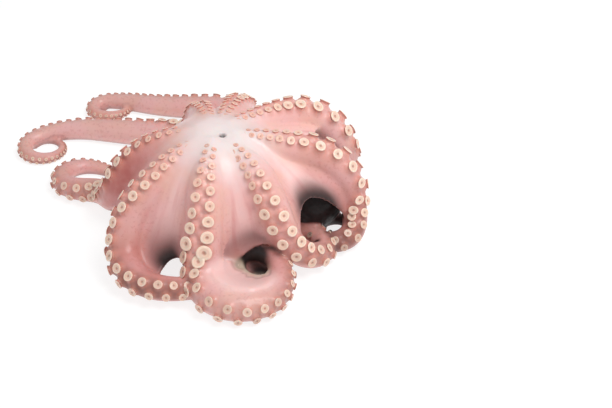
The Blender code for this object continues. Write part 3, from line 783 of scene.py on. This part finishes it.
def make_suckers(name, chosen, around, profile, seed):
    """Many suckers as one mesh, each a little uneven in size, roundness and tilt."""
    draw = np.random.default_rng(seed)
    count = len(chosen)
    place = np.array([found[0] for found in chosen])
    out = np.array([found[1] for found in chosen])
    run = np.array([found[2] for found in chosen])
    width = np.array([found[3] for found in chosen])
    s = np.array([found[4] for found in chosen])
    side = unit(np.cross(out, run))
    tilt = draw.normal(0, TILT, (count, 2))
    out = unit(out + side * tilt[:, :1] + run * tilt[:, 1:])
    side = unit(np.cross(out, run))
    run = np.cross(side, out)
    long = width * draw.uniform(*LENGTHS, count)
    wide = width * draw.uniform(*WIDTHS, count)
    profile = np.array(profile)
    turn = np.arange(around) / around * math.tau
    dent = draw.uniform(0, math.tau, (count, 2))
    wobble = (1 + DENTS[0] * np.sin(2 * turn[None] + dent[:, :1])
              + DENTS[1] * np.sin(3 * turn[None] + dent[:, 1:]))
    rings = profile[:-1]
    flat = (run[:, None] * (np.cos(turn) * wobble)[..., None] * long[:, None, None]
            + side[:, None] * (np.sin(turn) * wobble)[..., None] * wide[:, None, None])
    tall = width * np.interp(width / MM, *FLATTER)
    rise = out[:, None, :] * tall[:, None, None] * rings[None, :, 1:]
    verts = (place[:, None, None] + flat[:, None] * rings[None, :, None, :1] + rise[:, :, None])
    tops = place + out * (tall * profile[-1, 1])[:, None]
    each = len(rings) * around
    verts = np.concatenate([verts.reshape(count, each, 3), tops[:, None]], 1)
    cell = grid_faces(len(rings), around, closed=True)
    last = (len(rings) - 1) * around
    cell += [(last + j, last + (j + 1) % around, each) for j in range(around)]
    cell.append(tuple(range(around - 1, -1, -1)))
    shape = Shape()
    for k in range(count):
        shape.add(verts[k], cell)
    item = shape.object(name)
    level = np.arange(len(profile)) / (len(profile) - 1)
    ring = np.append(np.repeat(level[:-1], around), 1.0)
    set_attribute(item, "ring", np.tile(ring, count))
    set_attribute(item, "chance", np.repeat(draw.uniform(0, 1, count), each + 1))
    set_attribute(item, "young", np.repeat(1 - past(s, *YOUNG), each + 1))
    set_attribute(item, "height", np.repeat(place[:, 2] / TENTH, each + 1))
    # Painted shade on the suckers of the coils that lie in the hollows
    dark = [np.interp(found[4] / MM, *zip(*COIL_SHADE.get(found[5], [(0, 0)]))) for found in chosen]
    set_attribute(item, "hollow_shade", np.repeat(dark, each + 1) * CUP_SHADE)
    item.data.shade_smooth()
    return item


def srgb(r, g, b):
    """A colour given in 0 to 255, as Blender's linear values."""
    linear = [(v / 255 / 12.92 if v < 11 else ((v / 255 + 0.055) / 1.055) ** 2.4)
              for v in (r, g, b)]
    return (*linear, 1)


CREAM = srgb(250, 222, 203)
WHITE = srgb(240, 226, 224)
PALE = srgb(245, 208, 204)
PINK = srgb(239, 190, 187)
ROSE = srgb(220, 150, 148)
RED = srgb(188, 104, 99)
MAUVE = srgb(152, 98, 96)
BROWN = srgb(112, 74, 70)
PEACH = srgb(238, 192, 180)
ORANGE = srgb(222, 148, 128)
BEIGE = srgb(206, 186, 166)
BLACK = srgb(26, 17, 18)
GREY = (0.27, 0.27, 0.27, 1), (0.29, 0.29, 0.29, 1)
LIGHT = (1, 1, 1, 1)

# Colours of a sucker, from its root over the rim to the bottom of its pit
CUP_COLOURS = [
    (0.0, srgb(220, 158, 146)), (0.22, srgb(220, 158, 146)), (0.34, srgb(182, 116, 106)),
    (0.43, CREAM), (0.58, CREAM), (0.66, srgb(238, 204, 184)), (0.76, srgb(242, 210, 190)),
    (0.86, srgb(214, 168, 150)), (0.97, srgb(194, 142, 126)),
]
CUP_YOUNG = srgb(236, 164, 150)
CUP_LOW_SHADE = srgb(188, 144, 128)


class Nodes:
    """A short way to write a material's nodes."""

    def __init__(self, name):
        self.material = bpy.data.materials.new(name)
        self.material.use_nodes = True
        self.tree = self.material.node_tree
        self.shader = self.tree.nodes["Principled BSDF"]

    def link(self, value, socket):
        if isinstance(value, bpy.types.NodeSocket):
            self.tree.links.new(value, socket)
        else:
            socket.default_value = value

    def attribute(self, name):
        node = self.tree.nodes.new("ShaderNodeAttribute")
        node.attribute_name = name
        return node.outputs["Fac"]

    def math(self, kind, a, b):
        node = self.tree.nodes.new("ShaderNodeMath")
        node.operation = kind
        self.link(a, node.inputs[0])
        self.link(b, node.inputs[1])
        return node.outputs[0]

    def times(self, a, b):
        return self.math("MULTIPLY", a, b)

    def ramp(self, value, low, high, to_low=0.0, to_high=1.0):
        node = self.tree.nodes.new("ShaderNodeMapRange")
        node.interpolation_type = "SMOOTHSTEP"
        self.link(value, node.inputs["Value"])
        for socket, number in zip(("From Min", "From Max", "To Min", "To Max"),
                                  (low, high, to_low, to_high)):
            node.inputs[socket].default_value = number
        return node.outputs[0]

    def mix(self, factor, a, b):
        node = self.tree.nodes.new("ShaderNodeMix")
        node.data_type = "RGBA"
        self.link(factor, node.inputs[0])
        self.link(a, node.inputs[6])
        self.link(b, node.inputs[7])
        return node.outputs[2]

    def place(self):
        return self.tree.nodes.new("ShaderNodeTexCoord").outputs["Object"]

    def noise(self, scale, detail=3.0, vector=None):
        node = self.tree.nodes.new("ShaderNodeTexNoise")
        node.inputs["Scale"].default_value = scale
        node.inputs["Detail"].default_value = detail
        self.link(vector or self.place(), node.inputs["Vector"])
        return node.outputs["Fac"]

    def combine(self, x, y, z):
        node = self.tree.nodes.new("ShaderNodeCombineXYZ")
        for socket, value in zip(node.inputs, (x, y, z)):
            self.link(value, socket)
        return node.outputs[0]

    def colours(self, value, stops):
        node = self.tree.nodes.new("ShaderNodeValToRGB")
        self.link(value, node.inputs[0])
        ramp = node.color_ramp
        while len(ramp.elements) < len(stops):
            ramp.elements.new(0.5)
        for element, (position, colour) in zip(ramp.elements, stops):
            element.position = position
            element.color = colour
        return node.outputs[0]

    def bump(self, height, strength, distance, under=None):
        node = self.tree.nodes.new("ShaderNodeBump")
        node.inputs["Strength"].default_value = strength
        node.inputs["Distance"].default_value = distance
        self.link(height, node.inputs["Height"])
        if under is not None:
            self.link(under, node.inputs["Normal"])
        return node.outputs[0]


def wet_flesh(nodes, colour, roughness, normal):
    """Wet, slightly see-through flesh."""
    shader = nodes.shader
    nodes.link(colour, shader.inputs["Base Color"])
    nodes.link(roughness, shader.inputs["Roughness"])
    nodes.link(normal, shader.inputs["Normal"])
    shader.inputs["Subsurface Weight"].default_value = 0.25
    shader.inputs["Subsurface Radius"].default_value = (1.0, 0.35, 0.25)
    shader.inputs["Subsurface Scale"].default_value = 3 * MM
    shader.inputs["IOR"].default_value = 1.4
    shader.inputs["Specular IOR Level"].default_value = 0.5
    shader.inputs["Coat Weight"].default_value = 0.2
    shader.inputs["Coat Roughness"].default_value = 0.12


def skin_colour(nodes, mottle, streak):
    """The skin's colour, laid on in layers."""
    names = ("from_mouth", "height", "off_arm", "oral", "halo_and_shade", "hollow_shade", "blush_and_shade")
    from_mouth, height, off_arm, oral, halo_and_shade, hollow_shade, blush_and_shade = map(nodes.attribute, names)

    # Pink and peach flesh, paler on the web
    colour = nodes.mix(nodes.ramp(mottle, 0.35, 0.7), PINK, PEACH)
    colour = nodes.mix(nodes.ramp(off_arm, 0.0, 0.9), colour, nodes.mix(mottle, PINK, PALE))

    # Rose streaks down the web, red blush that is partly painted shade, and fine speckle
    rose = nodes.times(nodes.ramp(streak, 0.42, 0.72), nodes.ramp(from_mouth, 0.3, 0.7))
    rose = nodes.times(rose, nodes.ramp(off_arm, 0.0, 0.6, 0.2, 0.6))
    colour = nodes.mix(rose, colour, ROSE)
    red = nodes.times(blush_and_shade, nodes.ramp(mottle, 0.2, 0.8, 0.5, 0.95))
    red = nodes.times(red, nodes.ramp(off_arm, 0.0, 1.0, 0.8, 0.3))
    colour = nodes.mix(red, colour, RED)
    speckle = nodes.ramp(nodes.noise(380, 4), 0.54, 0.66)
    speckle = nodes.times(speckle, nodes.ramp(from_mouth, 0.35, 0.9))
    speckle = nodes.times(speckle, nodes.ramp(off_arm, 0.0, 1.0, 0.22, 0.08))
    colour = nodes.mix(speckle, colour, RED)

    # Painted shade low down, over the web's duskier skin there, and painted shade in brown on the
    # oral side near the floor
    low_shade = nodes.times(nodes.ramp(height, 0.56, 0.22), nodes.ramp(off_arm, 0.0, 0.8, 0.1, 0.9))
    colour = nodes.mix(nodes.times(low_shade, 0.85), colour, MAUVE)
    under = nodes.times(nodes.ramp(height, 0.42, 0.10), blush_and_shade)
    under = nodes.times(nodes.ramp(oral, 0.3, 0.95), under)
    colour = nodes.mix(nodes.times(under, 0.9), colour, BROWN)

    # Warmer round each sucker: its own orange tint, and painted shade round its base
    tint_and_shade = nodes.times(halo_and_shade, nodes.ramp(from_mouth, 0.25, 0.7))
    colour = nodes.mix(nodes.times(tint_and_shade, 0.55), colour, ORANGE)

    # White at the mouth, pale in the curl, and painted shade in brown where the skin meets the floor
    reach = nodes.math("ADD", from_mouth, nodes.times(mottle, 0.25))
    colour = nodes.mix(nodes.ramp(reach, 0.70, 0.22), colour, WHITE)
    colour = nodes.mix(nodes.times(nodes.attribute("pale"), 0.75), colour, PALE)
    colour = nodes.mix(nodes.times(nodes.ramp(height, 0.07, 0.01), 0.6), colour, BROWN)

    # Painted shade in the hollows, the band round the curl's hole with its painted shadow line, and
    # the mouth
    shade = nodes.mix(nodes.ramp(hollow_shade, 0.25, 0.85), BROWN, BLACK)
    colour = nodes.mix(nodes.ramp(hollow_shade, 0.0, 0.8), colour, shade)
    colour = nodes.mix(nodes.times(nodes.attribute("lip_shadow"), 0.5), colour, MAUVE)
    colour = nodes.mix(nodes.times(nodes.attribute("lip"), 0.9), colour, BEIGE)
    return nodes.mix(nodes.attribute("mouth"), colour, BLACK)


def skin_material():
    nodes = Nodes("octopus_skin")
    mottle = nodes.noise(45, 4)
    round_mouth = nodes.times(nodes.attribute("bearing"), 70.0)
    outward = nodes.times(nodes.attribute("from_mouth"), 2.0)
    streak = nodes.noise(1.0, 3, nodes.combine(round_mouth, outward, 0.0))
    roughness = nodes.math("ADD", nodes.ramp(nodes.noise(260, 3), 0.3, 0.7, 0.3, 0.46),
                           nodes.times(nodes.attribute("hollow_shade"), 0.35))
    wrinkle = nodes.bump(streak, 0.15, 0.8 * MM)
    grain = nodes.bump(nodes.noise(700, 2), 0.2, 0.25 * MM, wrinkle)
    wet_flesh(nodes, skin_colour(nodes, mottle, streak), roughness, grain)
    return nodes.material


def sucker_material():
    nodes = Nodes("octopus_suckers")
    names = ("ring", "young", "height", "chance", "hollow_shade")
    ring, young, height, chance, hollow_shade = map(nodes.attribute, names)
    colour = nodes.colours(ring, CUP_COLOURS)
    colour = nodes.mix(nodes.times(young, 0.6), colour, CUP_YOUNG)
    # Painted shade on suckers low down, stronger on some than others
    low_shade = nodes.times(nodes.ramp(height, 0.4, 0.05), nodes.ramp(chance, 0, 1, 0.2, 0.5))
    colour = nodes.mix(low_shade, colour, CUP_LOW_SHADE)
    # Painted shade, near black, on suckers in the hollows
    colour = nodes.mix(hollow_shade, colour, BLACK)
    grain = nodes.bump(nodes.noise(900, 2), 0.15, 0.2 * MM)
    wet_flesh(nodes, colour, 0.36, grain)
    return nodes.material


def floor_material():
    nodes = Nodes("floor")
    spots = nodes.noise(3, 2)
    nodes.link(nodes.mix(spots, *GREY), nodes.shader.inputs["Base Color"])
    nodes.shader.inputs["Roughness"].default_value = 0.8
    nodes.shader.inputs["Specular IOR Level"].default_value = 0.1
    nodes.shader.inputs["Emission Color"].default_value = LIGHT
    nodes.shader.inputs["Emission Strength"].default_value = 0.8
    return nodes.material


# The camera sees the photo's frame, 612 pixels wide, over the floor point CAMERA_AIM
PHOTO_WIDTH = 612
CAMERA_ELEVATION = math.radians(36)
CAMERA_DISTANCE = 1.10
CAMERA_SCALE = 0.885 * MM    # size of a pixel at the aim
CAMERA_AIM = Vector((75.2 * MM, 28 * MM, 0))
SENSOR = 36                  # the camera's, in millimetres

# The studio
LIGHTS_AIM = Vector((0.05, 0.03, 0.03))
KEY = dict(place=(0.5, -0.25, 1.1), size=0.7, power=10.3)
FILL = dict(place=(-0.9, -0.8, 0.8), size=0.9, power=1.8)
AROUND = 0.38                # strength of the light from all round
FLOOR_WIDTH = 8
FLOOR_DROP = 0.2 * MM        # the floor lies this far under the object


def make_camera():
    camera = bpy.data.objects.new("camera", bpy.data.cameras.new("camera"))
    bpy.context.scene.collection.objects.link(camera)
    back = Vector((0, -math.cos(CAMERA_ELEVATION), math.sin(CAMERA_ELEVATION)))
    camera.location = CAMERA_AIM + back * CAMERA_DISTANCE
    camera.rotation_euler = (math.pi / 2 - CAMERA_ELEVATION, 0, 0)
    camera.data.sensor_width = SENSOR
    camera.data.lens = SENSOR * CAMERA_DISTANCE / (CAMERA_SCALE * PHOTO_WIDTH)
    bpy.context.scene.camera = camera


def make_light(name, place, size, power):
    data = bpy.data.lights.new(name, "AREA")
    data.size = size
    data.energy = power
    light = bpy.data.objects.new(name, data)
    light.location = place
    aim = LIGHTS_AIM - light.location
    light.rotation_euler = aim.to_track_quat("-Z", "Y").to_euler()
    bpy.context.scene.collection.objects.link(light)


def make_stage():
    bpy.ops.mesh.primitive_plane_add(size=FLOOR_WIDTH, location=(0, 0, -FLOOR_DROP))
    floor = bpy.context.active_object
    floor.name = "floor"
    floor.data.materials.append(floor_material())
    make_light("key", **KEY)
    make_light("fill", **FILL)
    world = bpy.data.worlds.new("studio")
    world.use_nodes = True
    world.node_tree.nodes["Background"].inputs["Color"].default_value = LIGHT
    world.node_tree.nodes["Background"].inputs["Strength"].default_value = AROUND
    bpy.context.scene.world = world
    bpy.context.scene.view_settings.view_transform = "Standard"


def main():
    make_camera()
    make_stage()
    skin = make_skin()
    skin.data.materials.append(skin_material())
    cups = sucker_material()
    large = [found for found in SUCKERS if found[3] >= LARGE_SUCKER]
    small = [found for found in SUCKERS if found[3] < LARGE_SUCKER]
    pieces = [
        skin,
        make_suckers("suckers_large", large, around=18, profile=CUP_PROFILE, seed=5),
        make_suckers("suckers_small", small, around=10, profile=CUP_PROFILE[::2], seed=6),
    ]
    for piece in pieces[1:]:
        piece.data.materials.append(cups)
    for piece in pieces:
        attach(piece, "root")
        print(piece.name, sum(len(f.vertices) - 2 for f in piece.data.polygons), "triangles")
    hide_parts("octopus")


main()
